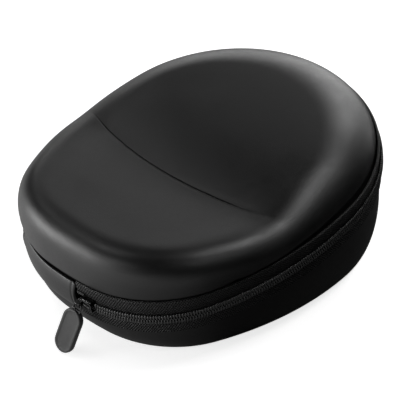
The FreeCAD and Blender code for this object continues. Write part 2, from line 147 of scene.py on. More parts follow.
def unit_rows(turns):
    return np.stack([np.cos(np.radians(turns)), np.sin(np.radians(turns))], 1)


def ground_w(u):
    """w of the ground under a point of the zip frame."""
    return -(ZIP_HEIGHT + u * math.sin(TILT)) / math.cos(TILT)


def lift(share, power):
    """Superellipse: share of the plan width to share of the rise."""
    share = np.clip(share, 0, 1)
    return (1 - (1 - share) ** power) ** (1 / power)


# ---------------------------------------------------------------- mesh helpers
def make_mesh(name, points, faces, uv=None, smooth=True):
    """uv, when given, is one pair per point in mm."""
    mesh = bpy.data.meshes.new(name)
    mesh.from_pydata([tuple(p) for p in points], [], [tuple(f) for f in faces])
    mesh.validate()
    if uv is not None:
        layer = mesh.uv_layers.new(name="run")
        corner_points = np.zeros(len(mesh.loops), int)
        mesh.loops.foreach_get("vertex_index", corner_points)
        layer.data.foreach_set("uv", np.asarray(uv, np.float32)[corner_points].ravel())
    tidy = bmesh.new()
    tidy.from_mesh(mesh)
    bmesh.ops.recalc_face_normals(tidy, faces=tidy.faces)
    tidy.to_mesh(mesh)
    tidy.free()
    mesh.polygons.foreach_set("use_smooth", [smooth] * len(mesh.polygons))
    mesh.update()
    thing = bpy.data.objects.new(name, mesh)
    bpy.context.scene.collection.objects.link(thing)
    return thing


def grid_faces(rows, columns, closed_columns=True, first=0):
    """Quads between rows of points, each row a ring when closed_columns."""
    faces = []
    spans = columns if closed_columns else columns - 1
    for row in range(rows - 1):
        for column in range(spans):
            after = (column + 1) % columns
            a = first + row * columns + column
            b = first + row * columns + after
            faces.append((a, b, b + columns, a + columns))
    return faces


def finish_piece(thing, body, material, replaces=(), bevel=0.0):
    thing.data.materials.clear()
    thing.data.materials.append(material)
    if bevel:
        soften = thing.modifiers.new("edge", "BEVEL")
        soften.width = bevel / 1000
        soften.segments = 3
        soften.limit_method = "ANGLE"
        soften.angle_limit = math.radians(35)
        soften.harden_normals = True
    if body:
        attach(thing, body)
    if replaces:
        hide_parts(*replaces)
    return thing


def round_profile(points, radius, steps=3):
    """A closed polygon with its corners rounded by short quadratic arcs."""
    points = [np.array(p, float) for p in points]
    rounded = []
    for index, here in enumerate(points):
        before, after = points[index - 1], points[(index + 1) % len(points)]
        to_before, to_after = before - here, after - here
        reach_in = min(radius, 0.45 * np.linalg.norm(to_before))
        reach_out = min(radius, 0.45 * np.linalg.norm(to_after))
        start = here + to_before / np.linalg.norm(to_before) * reach_in
        end = here + to_after / np.linalg.norm(to_after) * reach_out
        for step in range(steps + 1):
            t = step / steps
            rounded.append((1 - t) ** 2 * start + 2 * t * (1 - t) * here + t ** 2 * end)
    return np.array(rounded)


def sweep(name, profile, first, last, spacing=1.5, shape=None, closed=False):
    """Carry a closed (outward, w) profile along the zip line between two normal angles.

    shape(run, length, profile, turn), when given, returns the profile at each run in mm from the start.
    """
    profile = np.asarray(profile, float)
    start, stop = run_of(first), run_of(last)
    count = max(4, int((stop - start) / spacing))
    runs = np.linspace(start, stop, count + 1)
    if closed:
        runs = runs[:-1]
    turns = turn_of(runs)
    length_round = np.concatenate([[0], np.cumsum(np.linalg.norm(np.diff(profile, axis=0), axis=1))])
    points, uv = [], []
    for run, turn in zip(runs, turns):
        here = shape(run - start, stop - start, profile, turn) if shape else profile
        flat = outline(np.full(len(here), turn), -here[:, 0])
        points.append(world(flat[:, 0], flat[:, 1], here[:, 1]))
        uv.append(np.stack([np.full(len(here), run), length_round], 1))
    columns = len(profile)
    rows = len(runs)
    faces = grid_faces(rows, columns)
    if closed:
        last_row = (rows - 1) * columns
        for column in range(columns):
            after = (column + 1) % columns
            faces.append((last_row + column, last_row + after, after, column))
    else:
        faces.append(tuple(range(columns)))
        faces.append(tuple(range((rows - 1) * columns, rows * columns)))
    return make_mesh(name, np.concatenate(points), faces, np.concatenate(uv))


# ---------------------------------------------------------------- materials
class Nodes:
    """Short way to build a material's node tree."""

    def __init__(self, name):
        self.material = bpy.data.materials.new(name)
        self.material.use_nodes = True
        self.tree = self.material.node_tree
        self.shader = self.tree.nodes["Principled BSDF"]

    def add(self, kind, settings=None, **sockets):
        node = self.tree.nodes.new(kind)
        for key, value in (settings or {}).items():
            setattr(node, key, value)
        for key, value in sockets.items():
            self.set(node, key.replace("_", " "), value)
        return node

    def set(self, node, socket, value):
        target = node.inputs[int(socket)] if str(socket).isdigit() else node.inputs[socket]
        if isinstance(value, bpy.types.NodeSocket):
            self.tree.links.new(value, target)
        else:
            target.default_value = value

    def math(self, operation, first, second=0.0):
        node = self.tree.nodes.new("ShaderNodeMath")
        node.operation = operation
        self.set(node, 0, first)
        self.set(node, 1, second)
        return node.outputs[0]

    def ramp(self, value, low, high, start=0.0, stop=1.0):
        node = self.tree.nodes.new("ShaderNodeMapRange")
        node.interpolation_type = "SMOOTHSTEP"
        self.set(node, "Value", value)
        self.set(node, "From Min", low)
        self.set(node, "From Max", high)
        self.set(node, "To Min", start)
        self.set(node, "To Max", stop)
        return node.outputs["Result"]

    def place(self, scale=1.0, uv=False):
        """Coordinates in millimetres, from the object's own space or from the run along the zip."""
        source = self.tree.nodes.new("ShaderNodeTexCoord")
        mapping = self.tree.nodes.new("ShaderNodeMapping")
        factor = scale if uv else scale * 1000
        mapping.inputs["Scale"].default_value = (factor, factor, factor)
        self.tree.links.new(source.outputs["UV" if uv else "Object"], mapping.inputs["Vector"])
        return mapping.outputs["Vector"]

    def noise(self, vector, scale, detail=3.0):
        node = self.add("ShaderNodeTexNoise", None, Vector=vector, Scale=scale, Detail=detail)
        return node.outputs["Fac"]

    def grey(self, value):
        """A grey colour from a number socket."""
        node = self.add("ShaderNodeCombineColor", None)
        for channel in ("Red", "Green", "Blue"):
            self.set(node, channel, value)
        return node.outputs["Color"]

    def bump(self, height, distance, strength=1.0, before=None):
        node = self.add("ShaderNodeBump", None, Height=height, Distance=distance / 1000,
                        Strength=strength)
        if before is not None:
            self.set(node, "Normal", before)
        return node.outputs["Normal"]


def crease_line(n):
    """1 along the crease where the lid's low face meets the dome, fading out on the shoulders; it drives the
    groove's bump and the painted shade along the crease.
    """
    split = n.add("ShaderNodeSeparateXYZ", None, Vector=n.place())
    x, y, z = split.outputs["X"], split.outputs["Y"], split.outputs["Z"]
    lift_part = n.math("MULTIPLY", n.math("SUBTRACT", z, ZIP_HEIGHT), math.sin(TILT))
    u = n.math("ADD", n.math("MULTIPLY", x, math.cos(TILT)), lift_part)
    du = n.math("SUBTRACT", u, CREASE_CENTRE[0])
    dv = n.math("SUBTRACT", y, CREASE_CENTRE[1])
    reach = n.math("SQRT", n.math("ADD", n.math("MULTIPLY", du, du), n.math("MULTIPLY", dv, dv)))
    off = n.math("ABSOLUTE", n.math("SUBTRACT", reach, CREASE_RADIUS))
    line = n.ramp(off, 0.0, 0.9, 1.0, 0.0)
    return n.math("MULTIPLY", line, n.ramp(n.math("ABSOLUTE", n.math("SUBTRACT", y, 7)), 46, 66, 1.0, 0.0))


def leather(name, shade, rough, grain, depth, with_crease_groove_and_shade=False):
    """Synthetic leather: fine pebble, faint pores and a soft uneven sheen; with painted shade along the lid's
    crease when the flag is set.
    """
    n = Nodes(name)
    at = n.place()
    pebble = n.add("ShaderNodeTexVoronoi", {"feature": "DISTANCE_TO_EDGE"}, Vector=at,
                   Scale=1.0 / grain).outputs["Distance"]
    pebble = n.ramp(pebble, 0.0, 0.28)
    fine = n.noise(at, 2.6 / grain, 2.0)
    height = n.math("ADD", n.math("MULTIPLY", pebble, 0.75), n.math("MULTIPLY", fine, 0.25))
    broad = n.noise(at, 0.035, 3.0)
    rub = n.noise(at, 0.4, 4.0)
    tone = n.math("MULTIPLY", n.ramp(broad, 0.3, 0.7, 0.9, 1.1), shade)
    tone = n.math("MULTIPLY", tone, n.ramp(pebble, 0.0, 1.0, 0.75, 1.0))
    gloss = n.math("ADD", n.ramp(broad, 0.3, 0.7, rough - 0.03, rough + 0.03),
                   n.ramp(rub, 0.35, 0.7, -0.015, 0.02))
    normal = n.bump(height, depth)
    # Painted shade along the crease: darker colour and less specular there, over a bump groove.
    if with_crease_groove_and_shade:
        line = crease_line(n)
        tone = n.math("MULTIPLY", tone, n.math("SUBTRACT", 1.0, line))
        normal = n.bump(n.math("SUBTRACT", 1.0, line), 0.35, before=normal)
        n.set(n.shader, "Specular IOR Level", n.math("SUBTRACT", 0.5, n.math("MULTIPLY", line, 0.45)))
    n.set(n.shader, "Base Color", n.grey(tone))
    n.set(n.shader, "Roughness", gloss)
    n.set(n.shader, "Normal", normal)
    return n.material


def weave(name, shade, pitch, depth, rough=0.75, uv=True, sheen=0.15):
    """Twill: two crossing sets of ribs, with single threads darker or paler."""
    n = Nodes(name)
    at = n.place(1.0, uv)
    split = n.add("ShaderNodeSeparateXYZ", None, Vector=at)
    along, across = split.outputs["X"], split.outputs["Y"]
    turn = 2 * math.pi / pitch
    one = n.math("SINE", n.math("MULTIPLY", n.math("ADD", along, across), turn))
    two = n.math("SINE", n.math("MULTIPLY", n.math("SUBTRACT", along, across), turn))
    ribs = n.math("MAXIMUM", one, two)
    ribs = n.ramp(ribs, -0.6, 1.0)
    thread = n.noise(at, 3.0 / pitch, 2.0)
    wear = n.noise(at, 0.08, 3.0)
    tone = n.math("MULTIPLY", n.ramp(ribs, 0.0, 1.0, 0.45, 1.25), shade)
    tone = n.math("MULTIPLY", tone, n.ramp(thread, 0.3, 0.7, 0.8, 1.2))
    tone = n.math("MULTIPLY", tone, n.ramp(wear, 0.35, 0.7, 0.9, 1.15))
    n.set(n.shader, "Base Color", n.grey(tone))
    n.set(n.shader, "Roughness", rough)
    n.set(n.shader, "Normal", n.bump(ribs, depth))
    n.set(n.shader, "Sheen Weight", sheen)
    n.set(n.shader, "Specular IOR Level", n.math("MULTIPLY", n.ramp(ribs, 0.2, 1.0, 0.02, 1.0),
                                                 n.ramp(thread, 0.3, 0.7, 0.15, 1.0)))
    return n.material


def knit_lining(name, shade):
    """Brushed knit: fine nap over small loops."""
    n = Nodes(name)
    at = n.place()
    loops = n.add("ShaderNodeTexVoronoi", {"feature": "F1"}, Vector=at, Scale=0.9).outputs["Distance"]
    nap = n.noise(at, 3.5, 4.0)
    patch = n.noise(at, 0.05, 3.0)
    height = n.math("ADD", n.math("MULTIPLY", loops, -0.6), nap)
    tone = n.math("MULTIPLY", n.ramp(nap, 0.3, 0.7, 0.75, 1.25), shade)
    tone = n.math("MULTIPLY", tone, n.ramp(patch, 0.3, 0.7, 0.85, 1.15))
    n.set(n.shader, "Base Color", n.grey(tone))
    n.set(n.shader, "Roughness", 0.9)
    n.set(n.shader, "Sheen Weight", 0.5)
    n.set(n.shader, "Sheen Roughness", 0.4)
    n.set(n.shader, "Normal", n.bump(height, 0.25))
    return n.material


def moulded_foam(name, shade):
    n = Nodes(name)
    at = n.place()
    cells = n.add("ShaderNodeTexVoronoi", {"feature": "F1"}, Vector=at, Scale=2.2).outputs["Distance"]
    n.set(n.shader, "Base Color", n.grey(n.math("MULTIPLY", n.ramp(cells, 0, 0.6, 0.7, 1.2), shade)))
    n.set(n.shader, "Roughness", 0.85)
    n.set(n.shader, "Normal", n.bump(cells, 0.15))
    return n.material


def nylon(name, shade, rough):
    """Extruded monofilament: smooth, with a slight change of gloss along it."""
    n = Nodes(name)
    at = n.place()
    streak = n.noise(at, 1.2, 2.0)
    n.set(n.shader, "Base Color", n.grey(n.math("MULTIPLY", n.ramp(streak, 0.3, 0.7, 0.8, 1.2), shade)))
    n.set(n.shader, "Roughness", n.ramp(streak, 0.3, 0.7, rough - 0.05, rough + 0.08))
    n.set(n.shader, "Specular IOR Level", 0.9)
    return n.material


def dark_metal(name, shade, rough):
    """Black plated die-cast metal, with a painted highlight along its edges."""
    n = Nodes(name)
    at = n.place()
    bevel = n.add("ShaderNodeBevel", {"samples": 4}, Radius=0.0005)
    geometry = n.add("ShaderNodeNewGeometry")
    facing = n.add("ShaderNodeVectorMath", {"operation": "DOT_PRODUCT"})
    n.set(facing, "0", bevel.outputs["Normal"])
    n.set(facing, "1", geometry.outputs["Normal"])
    # Painted highlight: base colour made brighter along the edges, where the bevelled normal turns from the
    # face's, broken up by noise.
    edge_highlight = n.ramp(facing.outputs["Value"], 0.995, 0.85)
    scuffs_and_highlight_breakup = n.noise(at, 1.6, 4.0)
    edge_highlight = n.math("MULTIPLY", edge_highlight, n.ramp(scuffs_and_highlight_breakup, 0.35, 0.6, 0.4, 1.0))
    plating = n.math("MULTIPLY", n.ramp(scuffs_and_highlight_breakup, 0.3, 0.7, 0.8, 1.2), shade)
    tone = n.math("ADD", n.math("MULTIPLY", edge_highlight, 0.35), plating)
    n.set(n.shader, "Base Color", n.grey(tone))
    n.set(n.shader, "Metallic", 0.85)
    n.set(n.shader, "Roughness", n.ramp(scuffs_and_highlight_breakup, 0.3, 0.7, rough - 0.05, rough + 0.08))
    n.set(n.shader, "Normal", n.bump(scuffs_and_highlight_breakup, 0.02))
    return n.material


def soft_rubber(name, shade):
    """Moulded rubber: fine matte texture and faint handling marks."""
    n = Nodes(name)
    at = n.place()
    grit = n.noise(at, 6.0, 3.0)
    marks = n.noise(at, 0.35, 4.0)
    tone = n.math("MULTIPLY", n.ramp(marks, 0.35, 0.7, 0.92, 1.1), shade)
    n.set(n.shader, "Base Color", n.grey(tone))
    n.set(n.shader, "Roughness", n.ramp(marks, 0.3, 0.7, 0.55, 0.66))
    n.set(n.shader, "Normal", n.bump(grit, 0.03))
    n.set(n.shader, "Sheen Weight", 0.1)
    return n.material


CASE_LEATHER = leather("case_leather_grain", 0.0035, 0.41, 0.75, 0.02)
# The lid's leather also carries painted shade along its crease.
LID_LEATHER = leather("lid_leather_grain_and_crease_shade", 0.0035, 0.41, 0.75, 0.02, with_crease_groove_and_shade=True)
HINGE_LEATHER = leather("hinge_leather_smooth", 0.008, 0.38, 0.6, 0.015)
TAPE_WEAVE = weave("zip_tape_twill", 0.003, 1.5, 0.3, rough=0.58, sheen=0.0)
BINDING_WEAVE = weave("binding_rib", 0.02, 0.8, 0.10)
LINING_KNIT = knit_lining("lining_knit", 0.03)
FOAM = moulded_foam("core_foam", 0.03)
COIL_NYLON = nylon("coil_nylon", 0.03, 0.24)
CORD_TWIST = weave("cord_twist", 0.03, 0.5, 0.08, uv=False)
ZIP_METAL = dark_metal("zip_dark_metal", 0.012, 0.3)
PULL_RUBBER = soft_rubber("pull_rubber", 0.022)


# ---------------------------------------------------------------- lid and base shells
COLUMNS = 560
RING_TURNS = np.linspace(-180, 180, COLUMNS, endpoint=False)


def smooth(share):
    share = np.clip(share, 0, 1)
    return share * share * (3 - 2 * share)


def gap_height(turns):
    """Height of the groove between the lid's lower lip and the zip tape."""
    from_hinge = np.abs((np.asarray(turns) + 180) % 360 - 180)
    return 9.6 + 3.0 * smooth((from_hinge - 70) / 70)


def beyond_crease(u, v):
    return CREASE_RADIUS - np.hypot(u - CREASE_CENTRE[0], v - CREASE_CENTRE[1])


def dome_share(far):
    """0 on the low face and 1 on the dome, from the distance past the crease."""
    return smooth((far + 30) / 70)


def region(u, v):
    """Shoulder plan, power and bulge at a place, eased from the narrow end to the broad tip."""
    dome = dome_share(beyond_crease(u, v))
    tip = smooth((u - 12) / 75)
    return [n * (1 - dome) + dome * (s * (1 - tip) + t * tip) for n, s, t in zip(NARROW, SIDES, TIP)]


def lid_height(u, v, inset, depth):
    """Height of the lid's surface over the zip plane, inset counted from the shell's own edge."""
    far = beyond_crease(u, v)
    softness = KINK + EDGE_KINK * (1 - smooth((inset - 4) / 24))
    past = 0.5 * (far + np.sqrt(far ** 2 + softness))
    top = LOW_TOP - LOW_SLOPE * (u - past) + SWELL * (1 - np.exp(-past / SWELL_LENGTH))
    top = top + SWELL_RISE * past - SWELL_DROP * (past / 60) ** 2 - depth
    plan, power, _ = region(u, v)
    dome = dome_share(far)
    foot = (LOW_TOP - LOW_SLOPE * u - LOW_RISE) * (1 - dome) + LOWEST_WALL * dome
    foot = np.maximum(foot, LOWEST_WALL)
    share = lift(inset / np.maximum(plan - depth, 3), power)
    groove = GROOVE_DEPTH * np.exp(-(far / GROOVE_WIDTH) ** 2) * smooth((inset - 3) / 16) * (depth == 0)
    return np.maximum(foot + (top - foot) * share - groove, RIM + 0.6), top


def wall_swell(height, top, bulge, gap):
    """How far the wall stands out from the shell's edge: a rolled lip over the groove, then a soft bulge."""
    share = np.clip((height - RIM) / (top - RIM), 0, 1)
    lip = np.clip((height - gap) / 2.4, 0, 1)
    return bulge * np.sin(math.pi * share ** 0.8) * np.sqrt(1 - (1 - lip) ** 2)


def shell_insets():
    """Ring distances from the shell's edge: close together round the shoulder."""
    steps = np.radians(np.arange(3, 91, 3))
    near = 17 * (1 - np.cos(steps))
    return np.concatenate([[0], near, np.arange(17.7, 45, 0.7)])


WALL_STEPS = [-1.0, -0.6, -0.2, 0.0, 0.1, 0.25, 0.45, 0.7, 1.0, 1.4, 1.9, 2.4, 3.0]


def lid_skin(depth):
    """Rings of points from the rim, up the wall and over to the middle of the lid."""
    out = unit_rows(RING_TURNS)
    edge = outline(RING_TURNS, SHELL_INSET + depth)
    u, v = edge[:, 0], edge[:, 1]
    wall_top, top = lid_height(u, v, 0.0, depth)
    bulge = region(u, v)[2]
    gap = gap_height(RING_TURNS)
    rings = [world(u, v, np.full(COLUMNS, RIM))]
    heights = [gap + step for step in WALL_STEPS]
    heights += [gap + 3 + np.maximum(wall_top - gap - 3, 0.1) * share for share in np.linspace(0, 1, 8)[1:-1]]
    lowest = RIM + 0.05
    for height in heights:
        height = np.clip(height, lowest, np.maximum(wall_top - 0.02, lowest))
        lowest = height + 1e-3
        swell = wall_swell(height, top, bulge, gap)
        rings.append(world(u + out[:, 0] * swell, v + out[:, 1] * swell, height))
    insets = shell_insets()
    for inset in insets:
        at = outline(RING_TURNS, SHELL_INSET + depth + inset)
        u, v = at[:, 0], at[:, 1]
        height, top = lid_height(u, v, inset, depth)
        swell = wall_swell(height, top, region(u, v)[2], gap) * max(0.0, 1 - inset / 40)
        rings.append(world(u + out[:, 0] * swell, v + out[:, 1] * swell, height))
    middle = np.array([2.0, 0.0])
    last = outline(RING_TURNS, SHELL_INSET + depth + insets[-1])
    for share in np.linspace(1, 0, 60)[1:-1]:
        at = middle + (last - middle) * share
        rings.append(world(at[:, 0], at[:, 1], lid_height(at[:, 0], at[:, 1], 99.0, depth)[0]))
    return rings, world(middle[0], middle[1], lid_height(middle[0], middle[1], 99.0, depth)[0])


def base_skin(depth):
    rings = []
    out = unit_rows(RING_TURNS)
    floor_lift = depth / math.cos(TILT)
    for turn in np.radians(np.arange(0, 91, 3)):
        across = 1 - math.cos(turn) ** (2 / BASE_POWER)
        down = math.sin(turn) ** (2 / BASE_POWER)
        at = outline(RING_TURNS, SHELL_INSET + depth + (BASE_PLAN - depth) * across)
        swell = BASE_BULGE * math.sin(math.pi * min(1, down) ** 0.9)
        u, v = at[:, 0] + out[:, 0] * swell, at[:, 1] + out[:, 1] * swell
        floor = ground_w(u) + floor_lift
        rings.append(world(u, v, -RIM + (floor + RIM) * down))
    last = outline(RING_TURNS, SHELL_INSET + BASE_PLAN)
    for share in np.linspace(1, 0, 16)[1:-1]:
        at = last * share
        rings.append(world(at[:, 0], at[:, 1], ground_w(at[:, 0]) + floor_lift))
    return rings, world(0, 0, ground_w(0) + floor_lift)


def closed_shell(name, skin, outer, inner):
    """A shell of even thickness: an outer and an inner skin joined round the rim."""
    points, faces = [], []
    starts = []
    for depth in (outer, inner):
        rings, centre = skin(depth)
        starts.append(sum(len(p) for p in points))
        points.append(np.concatenate(rings))
        points.append(np.array([centre]))
        faces += grid_faces(len(rings), COLUMNS, True, starts[-1])
        tip = starts[-1] + len(rings) * COLUMNS
        ring = tip - COLUMNS
        faces += [(ring + c, ring + (c + 1) % COLUMNS, tip) for c in range(COLUMNS)]
    for column in range(COLUMNS):
        after = (column + 1) % COLUMNS
        faces.append((starts[0] + column, starts[0] + after, starts[1] + after, starts[1] + column))
    return make_mesh(name, np.concatenate(points), faces)


core_depth = COVER + GLUE + CORE
for half, skin in (("lid", lid_skin), ("base", base_skin)):
    shell = closed_shell(half + "_shell", skin, 0.0, COVER)
    skin_material = LID_LEATHER if half == "lid" else CASE_LEATHER
    finish_piece(shell, half, skin_material, (half + "_cover",))
    padding = closed_shell(half + "_inner_lining", skin, core_depth + GLUE, core_depth + GLUE + LINING)
    finish_piece(padding, half, LINING_KNIT, (half + "_lining",))
    foam = closed_shell(half + "_foam", skin, COVER + GLUE, core_depth)
    finish_piece(foam, half, FOAM, (half + "_core",))

# ---------------------------------------------------------------- zip tapes, coils and bindings
half_slider = math.degrees(SLIDER_LENGTH / 2 / CORNER_RADIUS)
slider_rear = SLIDER_TURN + half_slider
tape_first = HINGE_LAST - 360 + 0.4
tape_last = HINGE_FIRST - 0.3


def tape_profile():
    """Woven tape section, with a thicker selvedge at its outer edge."""
    face = [(COIL_FOOT, TAPE_FOOT), (COIL_FOOT, 4.2), (-1.1, 5.2), (-0.85, 6.6), (-0.95, 7.9),
            (-0.75, 8.5), (-0.85, 9.1)]
    back = [(outward - TAPE, w) for outward, w in reversed(face[:-1])]
    edge = [(-1.3, BAND), (-2.3, BAND)]
    return round_profile(face + edge + back, 0.3, 2)


def tape_shape(side):
    """The outer half follows the groove of its shell; the lid's tape is cut back above the slider."""
    def shape(run, length, profile, turn):
        edge = gap_height(turn) - 0.35 if side > 0 else BASE_TAPE_EDGE
        w = np.abs(profile[:, 1])
        grown = np.where(w > 4.6, 4.6 + (w - 4.6) * (edge - 4.6) / (BAND - 4.6), w)
        if side > 0:
            cut = 4.4 - 3.9 * smooth((turn - slider_rear + 0.2) / 1.1)
            grown = np.maximum(grown, cut + 0.02 * w)
        return np.stack([profile[:, 0], side * grown], 1)
    return shape


def flip(profile, side):
    return profile * np.array([1, side])


def coil(name, side, first, last):
    """Flattened helix of nylon; its heads pass between those of the other half at the middle of the zip."""
    pitch, wire = 1.5, 0.38
    near, far = -0.42, 3.15
    start, stop = run_of(first), run_of(last)
    laps = int((stop - start) / pitch)
    per_lap, sides = 12, 6
    steps = np.arange(laps * per_lap + 1) / per_lap
    angle = steps * 2 * math.pi
    run = start + steps * pitch + (0.25 * pitch if side > 0 else 0.75 * pitch)
    middle, reach = (near + far) / 2, (far - near) / 2 - wire
    w = middle - reach * np.cos(angle)
    out = COIL_FOOT + 0.95 + 0.58 * np.sign(np.sin(angle)) * np.abs(np.sin(angle)) ** 0.8
    run = run + 0.22 * pitch * np.cos(angle)
    turns = turn_of(run)
    normal = np.stack([np.cos(np.radians(turns)), np.sin(np.radians(turns))], 1)
    flat = outline(turns, 0.0) + normal * out[:, None]
    path = world(flat[:, 0], flat[:, 1], w * side)
    along = np.gradient(path, axis=0)
    along /= np.linalg.norm(along, axis=1)[:, None]
    reference = world(normal[:, 0], normal[:, 1], 0) - world(0, 0, 0)
    reference /= np.linalg.norm(reference, axis=1)[:, None]
    first_side = np.cross(along, reference)
    first_side /= np.linalg.norm(first_side, axis=1)[:, None]
    second_side = np.cross(along, first_side)
    rings = []
    for index in range(sides):
        a = 2 * math.pi * index / sides
        rings.append(path + (first_side * math.cos(a) + second_side * math.sin(a)) * wire / 1000)
    points = np.stack(rings, 1).reshape(-1, 3)
    faces = grid_faces(len(path), sides)
    faces.append(tuple(range(sides)))
    faces.append(tuple(range(len(points) - sides, len(points))))
    return make_mesh(name, points, faces)


inner = SHELL_INSET + core_depth + GLUE + LINING + GLUE
BINDING = [(-2.75, RIM - 0.9), (-2.75, RIM - 0.1), (-inner, RIM - 0.1), (-inner, RIM + 1.8),
           (-inner - 0.8, RIM + 1.8), (-inner - 0.8, RIM - 0.9)]
for half, side in (("lid", 1), ("base", -1)):
    tape = sweep(half + "_tape", flip(tape_profile(), side), tape_first, tape_last, shape=tape_shape(side))
    finish_piece(tape, half, TAPE_WEAVE, (half + "_zip_tape",))
    teeth = coil(half + "_coil", side, slider_rear - 0.9, tape_last - 2.6)
    finish_piece(teeth, half, COIL_NYLON, (half + "_zip_coil",))
    rim = flip(round_profile(BINDING, 0.35, 2), side)
    hem = sweep(half + "_edge_binding", rim, -180, 180, 3.0, closed=True)
    finish_piece(hem, half, BINDING_WEAVE, (half + "_rim_binding",))


# ---------------------------------------------------------------- hinge
def hinge_profile():
    """Outer face of the hinge leather from its lower to its upper edge, then back along the inside."""
    heights = np.linspace(-BAND - 1.2, BAND - 0.6, 39)
    bow = 0.55 - np.where(heights > 0, 2.7, 1.6) * np.abs(heights / BAND) ** 2.4
    outer = np.stack([bow, heights], 1)
    inside = np.stack([bow - 1.05, heights * 0.985], 1)[::-1]
    return np.concatenate([outer, inside])


def turned_edge(run, length, profile, turn):
    """The leather is doubled over at each end, with a pressed line inside the fold."""
    from_end = min(run, length - run)
    half = len(profile) // 2
    shaped = profile.copy()
    raised = 0.35 * math.exp(-((from_end - 1.1) / 0.9) ** 2) - 0.4 * math.exp(-((from_end - 2.9) / 0.45) ** 2)
    roll = 0.55 * math.exp(-(from_end / 0.35) ** 2)
    shaped[:half, 0] += raised - roll
    shaped[half:, 0] += roll * 0.5
    return shaped


def zip_point(turn, outward, w):
    at = outline([turn], -outward)[0]
    return world(at[0], at[1], w)


hinge = sweep("hinge_leather", hinge_profile(), HINGE_FIRST, HINGE_LAST, 0.3, turned_edge)
finish_piece(hinge, None, HINGE_LEATHER, ("hinge_leather_lid", "hinge_leather_base"))
zip_point(HINGE_MIDDLE, 0, -3.2)
zip_point(HINGE_MIDDLE, 0, 3.2)
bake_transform(hinge)
backing = [(-1.6, -6), (-0.9, -3), (-0.75, 0), (-1.0, 3), (-1.9, 6), (-2.9, 6), (-2.5, 3), (-2.3, 0),
           (-2.4, -3), (-2.6, -6)]
inside = sweep("hinge_inner_fabric", round_profile(backing, 0.3, 3), HINGE_FIRST + 0.8, HINGE_LAST - 0.8, 1.0)
finish_piece(inside, None, BINDING_WEAVE, ("hinge_lining_lid", "hinge_lining_base"))
zip_point(HINGE_MIDDLE, 0, -3.2)
zip_point(HINGE_MIDDLE, 0, 3.2)
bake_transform(inside)


# ---------------------------------------------------------------- slider and puller
def turn_matrix(axis, degrees):
    return Matrix.Rotation(math.radians(degrees), 4, axis)


def slider_frame():
    """x along the zip toward the hinge, y outward, z square to the zip plane, in metres."""
    corner = ARCS[2][0] * [1, -1]
    spot = corner + unit(SLIDER_TURN) * CORNER_RADIUS
    zip_frame = Matrix.Translation((0, 0, ZIP_HEIGHT / 1000)) @ turn_matrix("Y", -math.degrees(TILT))
    place = Matrix.Translation((spot[0] / 1000, spot[1] / 1000, 0))
    return zip_frame @ place @ turn_matrix("Z", SLIDER_TURN - 90)


SLIDER = slider_frame()
PULL = SLIDER @ Matrix.Translation(Vector(PIVOT) / 1000)
PULL = PULL @ turn_matrix("X", -90 - PULL_DROP) @ turn_matrix("Y", PULL_LEAN)


def prism(points, low, high, order="xzy"):
    """Vertices and faces of a thick flat outline. order names the outline's two axes, then the depth's."""
    count = len(points)
    place = ["xyz".index(axis) for axis in order]
    vertices = []
    for depth in (low, high):
        for a, b in points:
            vertex = [0.0, 0.0, 0.0]
            vertex[place[0]], vertex[place[1]], vertex[place[2]] = a, b, depth
            vertices.append(vertex)
    faces = [tuple(range(count)), tuple(range(count, 2 * count))]
    faces += [(i, (i + 1) % count, count + (i + 1) % count, count + i) for i in range(count)]
    return np.array(vertices), faces


def tube(path, radius, sides=10):
    path = np.array(path, float)
    along = np.gradient(path, axis=0)
    along /= np.linalg.norm(along, axis=1)[:, None]
    reference = np.array([0.0, 0.31, 0.95]) if abs(along[:, 2]).max() < 0.9 else np.array([0.95, 0.31, 0.0])
    one = np.cross(along, reference)
    one /= np.linalg.norm(one, axis=1)[:, None]
    two = np.cross(along, one)
    rings = [path + (one * math.cos(a) + two * math.sin(a)) * radius
             for a in np.linspace(0, 2 * math.pi, sides, endpoint=False)]
    vertices = np.stack(rings, 1).reshape(-1, 3)
    faces = grid_faces(len(path), sides)
    faces.append(tuple(range(sides)))
    faces.append(tuple(range(len(vertices) - sides, len(vertices))))
    return vertices, faces


def joined(name, parts, matrix):
    """One mesh from several solids given in mm in a local frame."""
    vertices, faces = [], []
    for some, quads in parts:
        first = sum(len(v) for v in vertices)
        faces += [tuple(first + i for i in face) for face in quads]
        vertices.append(some)
    placed = [matrix @ (Vector(v) / 1000) for v in np.concatenate(vertices)]
    return make_mesh(name, placed, faces)


